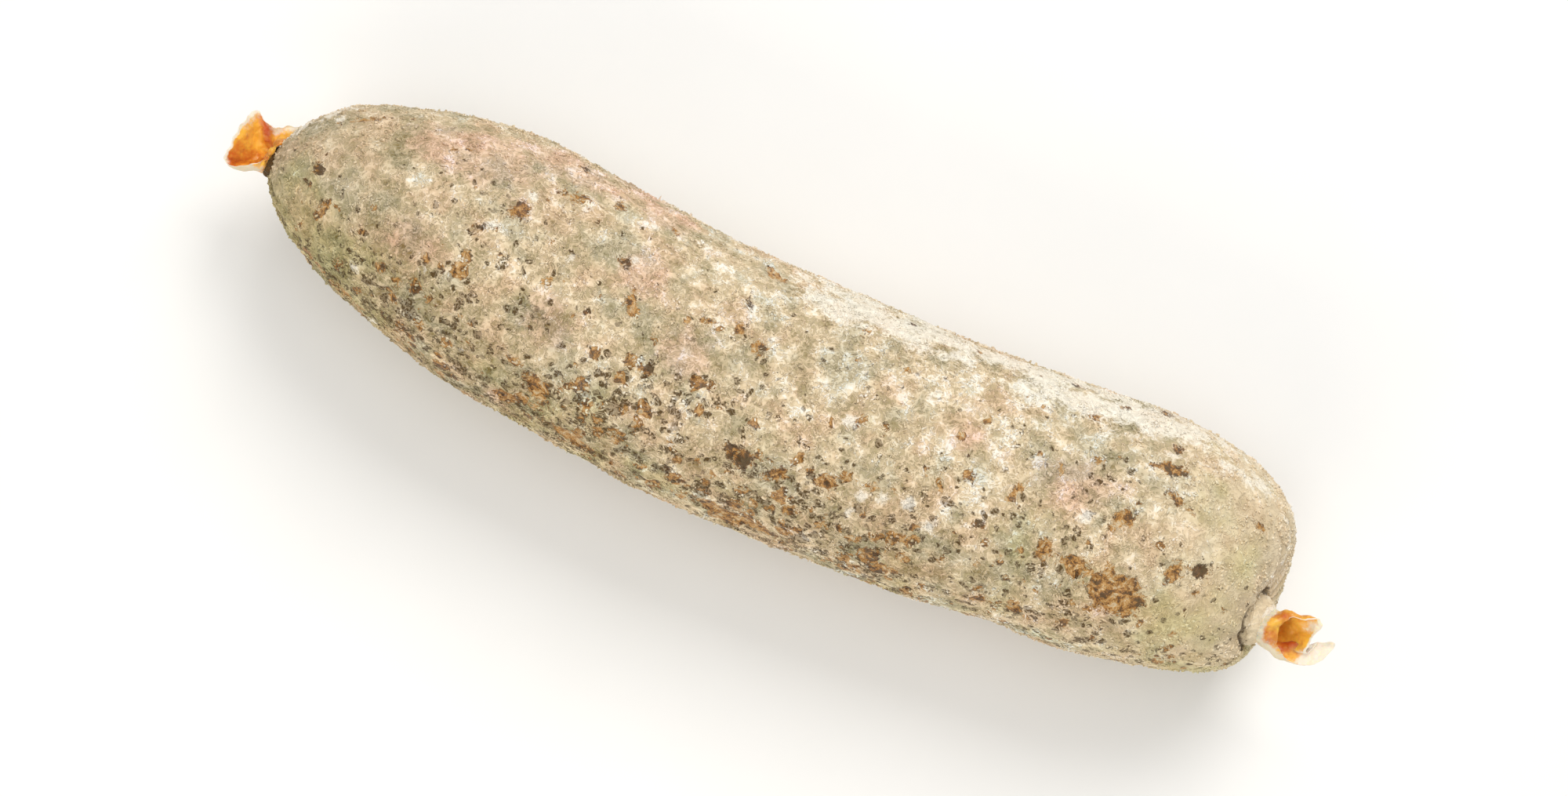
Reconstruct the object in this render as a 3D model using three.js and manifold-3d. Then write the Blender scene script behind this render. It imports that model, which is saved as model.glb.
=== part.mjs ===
import * as THREE from "three";
import { mergeVertices } from "three/addons/utils/BufferGeometryUtils.js";
import Module from "manifold-3d";

// A whole mould-ripened dry sausage lying on its side, in millimetres, with +Z up.
// +X runs from its tapered end to its blunt end, and +Y is the hollow side of its slight bend.
// The origin is the middle of the narrow flat on which it rests.

// The filled part.
const BODY_LENGTH = 300;
const BODY_RADIUS = 35.3;
const REST_FLAT_DEPTH = 1.2; // how far its own weight has pressed in the underside
const BELLY_RISE = 1.1; // extra radius where it is fattest
const BELLY_X = -18; // where along X it is fattest
const BELLY_SPREAD = 48; // how quickly the extra radius fades along X
const BEND = 7; // how far both ends stand to the +Y side of the middle
const BEND_REACH = 135; // from mid-length to where the bend is fullest

// Its rounded ends. Over length the radius grows from nothing as (1 - (1 - d)^2)^power, where d is
// the share of that length. shift moves the tip along Y and Z, and the dimple dents the end there.
// The end leans back round its tip, so that the tip looks upwards: by leanSlope for each millimetre
// above leanFoot, fading with the distance from the axis over leanRadius.
const TAPERED_END = {
  length: 78,
  power: 0.55,
  shift: new THREE.Vector2(-2, -3),
  dimpleDepth: 0,
  dimpleRadius: 6,
  leanSlope: 0,
  leanFoot: 0,
  leanRadius: 16,
};
const BLUNT_END = {
  length: 60,
  power: 0.29,
  shift: new THREE.Vector2(-8, 8),
  dimpleDepth: 1.6,
  dimpleRadius: 11,
  leanSlope: 0.55,
  leanFoot: -7,
  leanRadius: 16,
};

// The empty, dried ends of the casing. Each is a short squashed sleeve that leaves the tip along an
// arc from one heading to another, and opens wider. Its underside reaches furthest, and its upper
// side least, so that it lies open like a scoop. lip is a tongue that runs on past the rim, at a
// bearing round the sleeve. Lengths run from the root, and angles are in degrees.
const TAIL_WALL = 0.9;
const TAIL_CLEARANCE = 0.3; // between a tail and the filled part
const TAIL_ROOT = 2.5; // how far a tail's axis starts inside the tip
const TAIL_PLUG = 4.5; // length of the gathered root, where the sleeve isn't open yet
const TAPERED_TAIL = {
  neckRadius: 5.2,
  mouthHalfWidth: 9.6,
  mouthHalfHeight: 4.2,
  upperLength: 8,
  sideLength: 10.5,
  underLength: 15.5,
  headings: [176, 140],
  rise: -6,
  pleats: 7,
  pleatDepth: 0.55,
  lip: { bearing: 35, reach: 1.5, spread: 28 },
};
const BLUNT_TAIL = {
  neckRadius: 6,
  mouthHalfWidth: 6.2,
  mouthHalfHeight: 4.4,
  upperLength: 11,
  sideLength: 19.5,
  underLength: 21.5,
  headings: [-6, 16],
  rise: 24,
  pleats: 6,
  pleatDepth: 0.6,
  lip: { bearing: 205, reach: 8, spread: 34 },
};

// Facets.
const BODY_SEGMENTS = 44;
const END_RINGS = 13;
const MIDDLE_RINGS = 14;
const TAIL_SEGMENTS = 28;
const TAIL_RINGS = 7;

const AXIS_HEIGHT = BODY_RADIUS - REST_FLAT_DEPTH;

const wasm = await Module();
wasm.setup();

// The distance from the tip at which an end has the given share of the full radius.
function distanceFromTip(end, share) {
  return end.length * (1 - Math.sqrt(1 - share ** (1 / end.power)));
}

function belly(x) {
  return BELLY_RISE * Math.exp(-(((x - BELLY_X) / BELLY_SPREAD) ** 2));
}

// How far the centre line stands to the +Y side at x.
function bendAt(x) {
  const reach = Math.min(Math.abs(x) / BEND_REACH, 1);
  return (BEND * (1 - Math.cos(Math.PI * reach))) / 2;
}

// The straight outline of the filled part, as radius against place along its length.
function bodyOutline(clearance) {
  const tip = BODY_LENGTH / 2 + clearance;
  const radius = BODY_RADIUS + clearance;
  const ringOf = (x, share) => new THREE.Vector2(share * (radius + belly(x)), x);
  const tapered = [];
  const blunt = [];
  for (let i = 0; i <= END_RINGS; i++) {
    const share = Math.sin(((i / END_RINGS) * Math.PI) / 2);
    tapered.push(ringOf(-tip + distanceFromTip(TAPERED_END, share), share));
    blunt.unshift(ringOf(tip - distanceFromTip(BLUNT_END, share), share));
  }
  const start = -tip + TAPERED_END.length;
  const run = 2 * tip - TAPERED_END.length - BLUNT_END.length;
  const middle = [];
  for (let i = 1; i < MIDDLE_RINGS; i++) {
    middle.push(ringOf(start + (run * i) / MIDDLE_RINGS, 1));
  }
  return [...tapered, ...middle, ...blunt];
}

// How far an end is set back, at a height above its own axis and a distance from it.
function setBack(end, height, fromAxis) {
  const dimple = end.dimpleDepth * Math.exp(-((fromAxis / end.dimpleRadius) ** 2));
  const fade = Math.exp(-((fromAxis / end.leanRadius) ** 2));
  return dimple + end.leanSlope * (height - end.leanFoot) * fade;
}

// The filled part about its own axis, bent, with its tips shifted and its ends set back.
function bodyGeometry(clearance) {
  const geometry = new THREE.LatheGeometry(bodyOutline(clearance), BODY_SEGMENTS);
  geometry.rotateZ(-Math.PI / 2);
  const place = geometry.getAttribute("position");
  for (let i = 0; i < place.count; i++) {
    const x = place.getX(i);
    const fromAxis = Math.hypot(place.getY(i), place.getZ(i));
    const end = x < 0 ? TAPERED_END : BLUNT_END;
    const nearTip = Math.max(1 - fromAxis / BODY_RADIUS, 0) ** 2;
    place.setXYZ(
      i,
      x - Math.sign(x) * setBack(end, place.getZ(i), fromAxis),
      place.getY(i) + bendAt(x) + nearTip * end.shift.x,
      place.getZ(i) + nearTip * end.shift.y,
    );
  }
  return geometry;
}

// Where a tail's axis starts: at the tip of its end.
function tipOf(end, side) {
  const x = side * (BODY_LENGTH / 2 - setBack(end, 0, 0));
  return new THREE.Vector3(x, bendAt(x) + end.shift.x, end.shift.y);
}

function mix(from, to, share) {
  return from + (to - from) * share;
}

// A tail's length at an angle round its axis: 90 degrees is its upper side and 0 its right side.
function tailLength(tail, angle) {
  const height = Math.sin(angle);
  const towards = height > 0 ? tail.upperLength : tail.underLength;
  const away = THREE.MathUtils.degToRad(tail.lip.bearing);
  const turn = Math.atan2(Math.sin(angle - away), Math.cos(angle - away));
  const lip = tail.lip.reach * Math.exp(-((THREE.MathUtils.radToDeg(turn) / tail.lip.spread) ** 2));
  return mix(tail.sideLength, towards, height ** 2) + lip;
}

// A tail's outer radius at an angle round its axis, share of the way from its neck to its rim.
function tailRadius(tail, angle, share) {
  const opening = share ** 1.4;
  const width = mix(tail.neckRadius, tail.mouthHalfWidth, opening);
  const height = mix(tail.neckRadius, tail.mouthHalfHeight, opening);
  const oval = (width * height) / Math.hypot(height * Math.cos(angle), width * Math.sin(angle));
  return oval + share * tail.pleatDepth * Math.cos(tail.pleats * angle);
}

// A tail's axis at a distance along it: an arc in plan between its two headings, rising evenly. The
// chord of the arc so far lies at its middle heading.
function tailAxis(tail, distance) {
  const [from, to] = tail.headings.map(THREE.MathUtils.degToRad);
  const turned = ((to - from) * distance) / tail.underLength;
  const chord = turned === 0 ? distance : (distance * Math.sin(turned / 2)) / (turned / 2);
  const slope = Math.tan(THREE.MathUtils.degToRad(tail.rise));
  const at = new THREE.Vector3(
    chord * Math.cos(from + turned / 2),
    chord * Math.sin(from + turned / 2),
    distance * slope,
  );
  const across = new THREE.Vector3(Math.sin(from + turned), -Math.cos(from + turned), 0);
  return { at, across };
}

// A tail as a closed cup: out along its outer wall, over the rim and back down its inner wall. It
// starts as a plain closed drum, 3 high: the first third becomes the outer wall and the last third
// the inner one.
function tailGeometry(tail, end, side) {
  const outline = [new THREE.Vector2(0, 0)];
  for (let i = 0; i <= TAIL_RINGS; i++) outline.push(new THREE.Vector2(1, i / TAIL_RINGS));
  for (let i = 0; i <= TAIL_RINGS; i++) outline.push(new THREE.Vector2(1, 2 + i / TAIL_RINGS));
  outline.push(new THREE.Vector2(0, 3));
  const geometry = new THREE.LatheGeometry(outline, TAIL_SEGMENTS);
  const start = tipOf(end, side);
  const place = geometry.getAttribute("position");
  for (let i = 0; i < place.count; i++) {
    const angle = Math.atan2(place.getZ(i), place.getX(i));
    const onAxis = Math.hypot(place.getX(i), place.getZ(i)) < 0.5;
    const level = place.getY(i);
    const inside = level > 1.5;
    const length = tailLength(tail, angle);
    const floor = TAIL_ROOT + TAIL_PLUG;
    const along = inside ? mix(length, floor, level - 2) : length * level;
    const radius = onAxis ? 0 : tailRadius(tail, angle, along / length) - (inside ? TAIL_WALL : 0);
    const axis = tailAxis(tail, along - TAIL_ROOT);
    const spot = start.clone().add(axis.at).addScaledVector(axis.across, radius * Math.cos(angle));
    spot.z += radius * Math.sin(angle);
    place.setXYZ(i, spot.x, spot.y, spot.z);
  }
  return geometry;
}

// A closed geometry as a solid that can be joined or cut, and back again.
function solidOf(geometry) {
  const bare = geometry.clone();
  bare.deleteAttribute("normal");
  bare.deleteAttribute("uv");
  const merged = mergeVertices(bare, 1e-3);
  const vertProperties = merged.getAttribute("position").array;
  const triVerts = new Uint32Array(merged.index.array);
  return new wasm.Manifold(new wasm.Mesh({ numProp: 3, vertProperties, triVerts }));
}

function geometryOf(solid) {
  const { vertProperties, triVerts } = solid.getMesh();
  const geometry = new THREE.BufferGeometry();
  geometry.setAttribute("position", new THREE.BufferAttribute(vertProperties, 3));
  geometry.setIndex(new THREE.BufferAttribute(triVerts, 1));
  geometry.computeVertexNormals();
  return geometry;
}

// The surface below, as a block whose top is where the sausage rests.
function restingBlock() {
  const height = 2 * BODY_RADIUS;
  const block = new THREE.BoxGeometry(2 * BODY_LENGTH, 6 * BODY_RADIUS, height);
  return block.translate(0, 0, -AXIS_HEIGHT - height / 2);
}

function namedMesh(name, solid, look) {
  const mesh = new THREE.Mesh(geometryOf(solid), new THREE.MeshStandardMaterial(look));
  mesh.name = name;
  return mesh;
}

const mouldCoat = { color: 0xc6b596, roughness: 0.9, metalness: 0 };
const driedCasing = { color: 0xc98432, roughness: 0.4, metalness: 0 };

const filled = solidOf(bodyGeometry(0)).subtract(solidOf(restingBlock()));
const keptClear = solidOf(bodyGeometry(TAIL_CLEARANCE));
const taperedTail = solidOf(tailGeometry(TAPERED_TAIL, TAPERED_END, -1)).subtract(keptClear);
const bluntTail = solidOf(tailGeometry(BLUNT_TAIL, BLUNT_END, 1)).subtract(keptClear);

const lying = new THREE.Group();
lying.position.z = AXIS_HEIGHT;
lying.add(namedMesh("sausage", filled, mouldCoat));
lying.add(namedMesh("casing_tail_tapered", taperedTail, driedCasing));
lying.add(namedMesh("casing_tail_blunt", bluntTail, driedCasing));

const group = new THREE.Group();
group.add(lying);

export default group;
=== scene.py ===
"""A whole mould-ripened dry sausage on a pale studio floor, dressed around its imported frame.

The filled body, the mould that grows on it and the two dried casing ends are surfaces worked out
with numpy in millimetres, and every finish is a node recipe. X runs from the tapered end to the
blunt end, Y to the hollow side of the bend and Z up from the floor.
"""

import enum
import itertools
import logging
import math
from collections.abc import Mapping, Sequence
from dataclasses import dataclass
from typing import Any

import bpy
import numpy as np
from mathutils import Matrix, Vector


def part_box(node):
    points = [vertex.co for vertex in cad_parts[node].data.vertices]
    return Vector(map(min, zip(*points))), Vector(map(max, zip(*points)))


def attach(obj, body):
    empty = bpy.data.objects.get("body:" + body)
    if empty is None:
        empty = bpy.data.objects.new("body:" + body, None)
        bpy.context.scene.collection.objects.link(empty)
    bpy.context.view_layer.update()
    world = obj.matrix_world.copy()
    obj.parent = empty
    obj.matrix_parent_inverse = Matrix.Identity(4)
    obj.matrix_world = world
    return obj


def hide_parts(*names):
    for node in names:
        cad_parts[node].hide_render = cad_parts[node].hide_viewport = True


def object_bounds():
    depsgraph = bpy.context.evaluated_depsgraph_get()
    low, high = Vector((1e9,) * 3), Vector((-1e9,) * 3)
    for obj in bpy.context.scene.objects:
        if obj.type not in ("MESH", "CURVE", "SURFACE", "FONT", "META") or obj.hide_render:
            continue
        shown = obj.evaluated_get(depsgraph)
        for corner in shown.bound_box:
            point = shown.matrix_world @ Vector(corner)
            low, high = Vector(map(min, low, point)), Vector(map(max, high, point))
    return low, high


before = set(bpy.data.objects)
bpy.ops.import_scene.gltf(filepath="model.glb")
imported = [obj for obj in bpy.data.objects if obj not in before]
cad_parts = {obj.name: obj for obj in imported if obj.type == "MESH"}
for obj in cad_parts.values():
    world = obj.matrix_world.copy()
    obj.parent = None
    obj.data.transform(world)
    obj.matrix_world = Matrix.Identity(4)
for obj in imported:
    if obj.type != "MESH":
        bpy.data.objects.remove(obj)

Array = np.ndarray
Colour = tuple[float, float, float]
Fields = dict[str, Array]

MM = 0.001
BODY = "root"
COAT_SLOT = "mould_coated_casing"
GUT_SLOT = "dried_casing"
LOG = logging.getLogger("sausage")

FULL_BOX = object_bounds()


# Numbers


def srgb(red: int, green: int, blue: int) -> Colour:
    """A colour given as screen values from 0 to 255, as the linear values that shaders use.

    Args:
        red: Screen red.
        green: Screen green.
        blue: Screen blue.

    Returns:
        The linear colour: a share c is c / 12.92 when dark, else ((c + 0.055) / 1.055) ** 2.4.
    """
    shares = (red / 255, green / 255, blue / 255)
    return tuple(c / 12.92 if c <= 0.04045 else ((c + 0.055) / 1.055) ** 2.4 for c in shares)


def smooth(low: float, high: float, value: Array) -> Array:
    """The S-shaped step 3 t^2 - 2 t^3 of value between low and high."""
    t = np.clip((value - low) / (high - low), 0, 1)
    return t * t * (3 - 2 * t)


def bell(value: Array, width: float) -> Array:
    """The bell curve exp(-(value / width)^2)."""
    return np.exp(-((value / width) ** 2))


def unit(vectors: Array) -> Array:
    """Vectors brought to length 1."""
    return vectors / np.maximum(np.linalg.norm(vectors, axis=-1, keepdims=True), 1e-9)


@dataclass(frozen=True)
class Grain:
    """Seeded gradient noise in space, the same on every run.

    At each corner of a cubic lattice stands a pseudo-random slope, and a point takes the blend of
    its cell's eight slopes, each times the way from its corner, with weights 6 t^5 - 15 t^4 + 10 t^3.
    """

    seed: int

    def __call__(self, points: Array, size: float, octaves: int = 1) -> Array:
        """The noise at points, in about -1 to 1.

        Args:
            points: Places in millimetres, with the three coordinates last.
            size: Width of the largest features in millimetres.
            octaves: How many layers, each half as wide and half as strong as the one before.

        Returns:
            One value for each point.
        """
        layers = range(octaves)
        return sum(self._layer(points * 2**k / size, self.seed + 17 * k) / 2**k for k in layers)

    def _layer(self, points: Array, seed: int) -> Array:
        """One layer of the noise, with cells of unit width.

        Args:
            points: Places, in cell widths.
            seed: The seed of the cells' slopes.

        Returns:
            A value for each place, mostly within 1 either way of 0.
        """
        cell = np.floor(points).astype(np.int64)
        part = points - cell
        weight = part**3 * (part * (part * 6 - 15) + 10)
        total = np.zeros(points.shape[:-1])
        for corner in itertools.product((0, 1), repeat=3):
            step = np.array(corner)
            slope = self._slopes(cell + step, seed)
            share = np.where(step, weight, 1 - weight).prod(axis=-1)
            total += share * (slope * (part - step)).sum(axis=-1)
        return total * 1.6

    @staticmethod
    def _slopes(cell: Array, seed: int) -> Array:
        """A pseudo-random slope for each cell, by mixing its whole-number place with the seed.

        Args:
            cell: The cells' whole-number places.
            seed: The seed of the slopes.

        Returns:
            Three numbers from -1 to 1 for each cell.
        """
        mixed = (cell * np.array((73856093, 19349663, 83492791))).sum(axis=-1) + seed * 2654435761
        turns = []
        for salt in (1, 2, 3):
            h = (mixed + salt * 668265263) & 0xFFFFFFFF
            h = ((h ^ (h >> 15)) * 2246822519) & 0xFFFFFFFF
            h = ((h ^ (h >> 13)) * 3266489917) & 0xFFFFFFFF
            turns.append(((h ^ (h >> 16)) & 0xFFFF) / 32767.5 - 1)
        return np.stack(turns, axis=-1)


def closed_curve(points: Array, count: int) -> Array:
    """A smooth closed curve through points, at even steps along the straight way between them.

    Between two points it is the Catmull-Rom cubic of those two and their neighbours.

    Args:
        points: One row for each point. The first three columns are a place.
        count: How many places to give back.

    Returns:
        One row for each place.
    """
    ahead = np.roll(points, -1, axis=0)
    length = np.linalg.norm((ahead - points)[:, :3], axis=1)
    start = np.concatenate(((0,), np.cumsum(length)))
    way = np.linspace(0, start[-1], count, endpoint=False)
    piece = np.searchsorted(start, way, side="right") - 1
    t = ((way - start[piece]) / length[piece])[:, None]
    a, b, c, d = (points[(piece + k) % len(points)] for k in (-1, 0, 1, 2))
    cubic = (3 * (b - c) + d - a) * t**3 + (2 * a - 5 * b + 4 * c - d) * t**2 + (c - a) * t
    return b + cubic / 2


# Meshes


def grid_normals(points: Array) -> Array:
    """The unit normals of a grid of points whose last column meets its first.

    Each is the cross product of the way down the rows and the way along the columns.

    Args:
        points: A grid of places, rows by columns by 3.

    Returns:
        A unit vector for each place.
    """
    down = np.gradient(points, axis=0)
    across = np.roll(points, -1, axis=1) - np.roll(points, 1, axis=1)
    return unit(np.cross(down, across))


def ring_faces(rows: int, columns: int) -> Array:
    """The quads of a grid whose last column meets its first.

    Args:
        rows: How many rows of places the grid has.
        columns: How many places a row has.

    Returns:
        One row of four corner numbers for each quad.
    """
    row = np.arange(rows - 1)[:, None] * columns
    here = np.arange(columns)[None, :]
    after = (here + 1) % columns
    quads = np.stack((row + here, row + columns + here, row + columns + after, row + after), axis=-1)
    return quads.reshape(-1, 4)


@dataclass
class Skin:
    """Places, faces and values of one mesh, before Blender holds it.

    Fields:
        points: Places in millimetres, one row each.
        faces: Corner numbers of each face.
        values: Named numbers, one for each place, which finishes read as attributes.
        unwrap: Flat places of the face corners, from 0 to 1.
    """

    points: Array
    faces: list[list[int]]
    values: Fields
    unwrap: Array

    def piece(self, name: str, material: bpy.types.Material, slot: str, *nodes: str) -> None:
        """Makes the Blender object at the origin, dresses it and puts it on the body.

        Args:
            name: The piece's name.
            material: Its finish.
            slot: A material slot's name. It is not used.
            nodes: CAD nodes that it stands for.
        """
        mesh = bpy.data.meshes.new(name)
        mesh.from_pydata((self.points * MM).tolist(), [], self.faces)
        mesh.polygons.foreach_set("use_smooth", np.ones(len(mesh.polygons), bool))
        for label, numbers in self.values.items():
            attribute = mesh.attributes.new(label, "FLOAT", "POINT")
            attribute.data.foreach_set("value", np.asarray(numbers, np.float32).ravel())
        layer = mesh.uv_layers.new(name="OFBake")
        layer.data.foreach_set("uv", self.unwrap.astype(np.float32).ravel())
        mesh.materials.append(material)
        mesh.update()
        thing = bpy.data.objects.new(name, mesh)
        bpy.context.scene.collection.objects.link(thing)
        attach(thing, BODY)
        if nodes:
            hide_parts(*nodes)
        LOG.info("%s: %d corners, %d faces", name, len(self.points), len(self.faces))


def capped(grid: Array, values: Fields) -> Skin:
    """A row of rings, closed at both ends by a fan round a middle point.

    Args:
        grid: Rings by columns by 3. Each ring's last column meets its first.
        values: Named grids.

    Returns:
        The closed skin, unwrapped with the rings along one side and the columns along the other.
    """
    rings, columns = grid.shape[:2]
    first, last = rings * columns, rings * columns + 1
    here = np.arange(columns)
    after = (here + 1) % columns
    foot = (rings - 1) * columns
    start = np.stack((np.full(columns, first), here, after), axis=-1)
    end = np.stack((np.full(columns, last), foot + after, foot + here), axis=-1)
    points = np.concatenate((grid.reshape(-1, 3), grid[:1].mean(axis=1), grid[-1:].mean(axis=1)))
    named = {k: np.concatenate((v.ravel(), (v[0].mean(), v[-1].mean()))) for k, v in values.items()}

    corners = ((0, 0), (1, 0), (1, 1), (0, 1))
    row, column = np.repeat(np.arange(rings - 1), columns), np.tile(here, rings - 1)
    down = np.stack([(row + 1 + r) / (rings + 1) for r, _ in corners], axis=-1)
    along = np.stack([(column + c) / columns for _, c in corners], axis=-1)
    edge, middle = np.full(columns, 1 / (rings + 1)), (here + 0.5) / columns
    one, two = here / columns, (here + 1) / columns
    flat = (
        np.stack((down, along), axis=-1),
        np.stack((np.stack((0 * edge, edge, edge), -1), np.stack((middle, one, two), -1)), -1),
        np.stack((1 - np.stack((0 * edge, edge, edge), -1), np.stack((middle, two, one), -1)), -1),
    )
    unwrap = np.concatenate([part.reshape(-1, 2) for part in flat])
    faces = ring_faces(rings, columns).tolist() + start.tolist() + end.tolist()
    return Skin(points, faces, named, unwrap)


def walled(sheet: Array, wall: Array, values: Fields) -> Skin:
    """A cup-like sheet with a thickness, closed all round.

    Its first row is a tiny ring in the middle of the cup's floor. The outer face is the sheet moved
    by half the wall along its normals, and the inner face is moved the other way. Rows run out
    along the outer face and back along the inner one.

    Args:
        sheet: A grid of places whose last column meets its first, rows by columns by 3.
        wall: Thickness at each place.
        values: Named numbers at each place. The value "outside" is added: 1 outside, 0 inside.

    Returns:
        The closed skin.
    """
    push = grid_normals(sheet) * wall[..., None] / 2
    loop = np.concatenate((sheet + push, (sheet - push)[::-1]))
    both = {name: np.concatenate((grid, grid[::-1])) for name, grid in values.items()}
    both["outside"] = np.concatenate((np.ones(sheet.shape[:2]), np.zeros(sheet.shape[:2])))
    return capped(loop, both)


# Node recipes


class Value:
    """A socket that takes part in plain arithmetic, each sum adding its Math node."""

    def __init__(self, recipe: "Recipe", socket: bpy.types.NodeSocket) -> None:
        """Wraps one output socket of a recipe."""
        self.recipe = recipe
        self.socket = socket

    def _with(self, operation: str, other: "Value | float", first: bool = True) -> "Value":
        """A Math node on this value and another.

        Args:
            operation: The Math node's operation.
            other: The other value or number.
            first: Whether this value comes first.

        Returns:
            The node's result.
        """
        order = (self, other) if first else (other, self)
        return self.recipe.node("ShaderNodeMath", {"operation": operation}, dict(enumerate(order)))

    def __add__(self, other: "Value | float") -> "Value":
        """This plus the other."""
        return self._with("ADD", other)

    __radd__ = __add__

    def __sub__(self, other: "Value | float") -> "Value":
        """This less the other."""
        return self._with("SUBTRACT", other)

    def __rsub__(self, other: float) -> "Value":
        """The other less this."""
        return self._with("SUBTRACT", other, first=False)

    def __mul__(self, other: "Value | float") -> "Value":
        """This times the other."""
        return self._with("MULTIPLY", other)

    __rmul__ = __mul__

    def larger(self, other: "Value | float") -> "Value":
        """The larger of the two."""
        return self._with("MAXIMUM", other)

    def other(self, output: str) -> "Value":
        """Another output of the same node."""
        return Value(self.recipe, self.socket.node.outputs[output])

    def step(self, low: float, high: float, to: tuple[float, float] = (0.0, 1.0)) -> "Value":
        """This carried from low..high to the two ends of to, smoothly and with nothing beyond."""
        inputs = {"Value": self, "From Min": low, "From Max": high, "To Min": to[0], "To Max": to[1]}
        return self.recipe.node("ShaderNodeMapRange", {"interpolation_type": "SMOOTHSTEP"}, inputs)


class Recipe:
    """One material's nodes."""

    def __init__(self, name: str) -> None:
        """Starts an empty material.

        Args:
            name: The material's name.
        """
        self.material = bpy.data.materials.new(name)
        self.material.use_nodes = True
        self.tree = self.material.node_tree
        self.tree.nodes.clear()

    def node(
        self,
        kind: str,
        settings: Mapping[str, Any] | None = None,
        inputs: Mapping[str | int, Any] | None = None,
        output: str | int = 0,
    ) -> Value:
        """Adds one node.

        Args:
            kind: The node's type.
            settings: Its settings, set before its sockets. "stops" are a ramp's places and colours.
            inputs: Values or links of its sockets, by name or number.
            output: Which output to hand back.

        Returns:
            The chosen output, ready for arithmetic.
        """
        made = self.tree.nodes.new(kind)
        for key, setting in (settings or {}).items():
            if key == "stops":
                self._stops(made.color_ramp.elements, setting)
            else:
                setattr(made, key, setting)
        for key, value in (inputs or {}).items():
            if isinstance(value, Value):
                self.tree.links.new(value.socket, made.inputs[key])
            elif isinstance(value, tuple) and made.inputs[key].type == "RGBA":
                made.inputs[key].default_value = (*value[:3], 1.0)
            else:
                made.inputs[key].default_value = value
        return Value(self, made.outputs[output])

    @staticmethod
    def _stops(elements: Any, stops: Sequence[tuple[float, Colour]]) -> None:
        """Writes a ramp's stops, adding elements as needed."""
        while len(elements) < len(stops):
            elements.new(1.0)
        for element, (place, colour) in zip(elements, stops):
            element.position = place
            element.color = (*colour, 1.0)

    def vector(self, operation: str, inputs: Mapping[str | int, Any]) -> Value:
        """A sum on vectors."""
        return self.node("ShaderNodeVectorMath", {"operation": operation}, inputs)

    def place(self) -> Value:
        """The object's own coordinates, in millimetres."""
        own = self.node("ShaderNodeTexCoord", output="Object")
        return self.vector("SCALE", {0: own, "Scale": 1 / MM})

    def shifted(self, place: Value, by: Value, reach: float) -> Value:
        """A place moved by a noise colour, up to reach millimetres each way."""
        centred = self.vector("SUBTRACT", {0: by, 1: (0.5, 0.5, 0.5)})
        return self.vector("ADD", {0: place, 1: self.vector("SCALE", {0: centred, "Scale": 2 * reach})})

    def noise(self, place: Value, size: float, detail: float = 2.0, **more: Any) -> Value:
        """Cloudy noise round 0, mostly within 0.5 each way, with features about size wide.

        Args:
            place: Where, in millimetres.
            size: Feature width in millimetres.
            detail: How many finer layers it has.
            more: Roughness and Distortion.

        Returns:
            The centred noise.
        """
        inputs = {"Vector": place, "Scale": 1 / size, "Detail": detail, **more}
        return self.node("ShaderNodeTexNoise", None, inputs, "Fac") - 0.5

    def spots(
        self, place: Value, spacing: float, widest: float, share: Value | float, ragged: Value
    ) -> Value:
        """Round spots scattered one to a cell, in a share of the cells.

        A cell draws a lot from 0 to 1. Its spot's radius grows evenly with how far the lot lies
        above 1 - share, and the value is that radius less the way from the cell's middle.

        Args:
            place: Where, in millimetres.
            spacing: Width of a cell in millimetres.
            widest: Radius of a spot whose lot lies half above the bar, in millimetres.
            share: What share of the cells has a spot.
            ragged: What is added to the value, in millimetres, to break the edges.

        Returns:
            How deep the place lies inside a spot, in millimetres.
        """
        inputs = {"Vector": place, "Scale": 1 / spacing}
        way = self.node("ShaderNodeTexVoronoi", None, inputs, "Distance")
        lot = self.node("ShaderNodeSeparateColor", None, {"Color": way.other("Color")}, "Red")
        return (lot - 1 + share) * (2 * widest) - way * spacing + ragged

    def attribute(self, name: str) -> Value:
        """A number that the mesh holds at its places."""
        return self.node("ShaderNodeAttribute", {"attribute_name": name}, output="Fac")

    def ramp(self, value: Value, *stops: tuple[float, Colour]) -> Value:
        """A colour for each value, blended evenly between the stops."""
        return self.node("ShaderNodeValToRGB", {"stops": stops}, {"Fac": value}, "Color")

    def mix(self, share: Value | float, under: Value | Colour, over: Value | Colour) -> Value:
        """The colour under, with a share of the colour over laid on it."""
        return self.node("ShaderNodeMix", {"data_type": "RGBA"}, {0: share, 6: under, 7: over}, 2)

    def tinted(self, share: Value | float, colour: Value, tint: Value | Colour) -> Value:
        """The colour, multiplied by a tint to a share."""
        settings = {"data_type": "RGBA", "blend_type": "MULTIPLY"}
        return self.node("ShaderNodeMix", settings, {0: share, 6: colour, 7: tint}, 2)

    def bump(self, height: Value, strength: float = 1.0) -> Value:
        """A normal tipped by a height in millimetres."""
        inputs = {"Height": height, "Distance": MM, "Strength": strength}
        return self.node("ShaderNodeBump", None, inputs, "Normal")

    def finish(self, inputs: Mapping[str, Any]) -> bpy.types.Material:
        """Ends the recipe with one Principled shader.

        Args:
            inputs: Values or links of the shader's sockets.

        Returns:
            The material.
        """
        shader = self.node("ShaderNodeBsdfPrincipled", None, inputs, "BSDF")
        end = self.tree.nodes.new("ShaderNodeOutputMaterial")
        self.tree.links.new(shader.socket, end.inputs["Surface"])
        return self.material


# Finishes


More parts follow.
